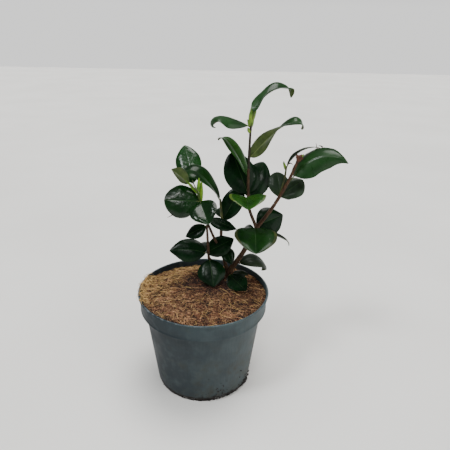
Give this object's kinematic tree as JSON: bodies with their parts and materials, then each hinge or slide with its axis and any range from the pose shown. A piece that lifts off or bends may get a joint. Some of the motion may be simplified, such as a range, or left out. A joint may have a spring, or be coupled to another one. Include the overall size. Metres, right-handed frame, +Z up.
{
  "type": "potted camellia shrub",
  "caption": "Young evergreen camellia shrub with glossy leaves on forked brown stems, growing in a round plastic nursery pot filled with coir mulch.",
  "frame": {"origin": "centre of the pot's flat underside", "axes": "+Z up along the pot's axis, +X to the right and +Y to the back as the shrub is seen from its front"},
  "size_m": [0.2878, 0.19, 0.4324],
  "materials": {
    "pot_plastic": "dull slate grey moulded plastic",
    "coir": "loose golden brown coconut fibre",
    "bark": "smooth brown bark with fine cracks",
    "foliage": "glossy dark green leaf with a paler, duller underside"
  },
  "bodies": {
    "root": {"pot": "pot_plastic", "coir_mulch": "coir", "trunk": "bark", "bough_right": "bark", "bough_centre": "bark", "bough_left": "bark", "bough_low_left": "bark", "bough_shoot": "bark", "foliage_fork": "foliage", "foliage_right": "foliage", "foliage_centre_low": "foliage", "foliage_centre_top": "foliage", "foliage_middle": "foliage", "foliage_left": "foliage", "foliage_low_left": "foliage", "foliage_foot": "foliage", "foliage_side": "foliage", "foliage_inner": "foliage"}
  },
  "joints": []
}
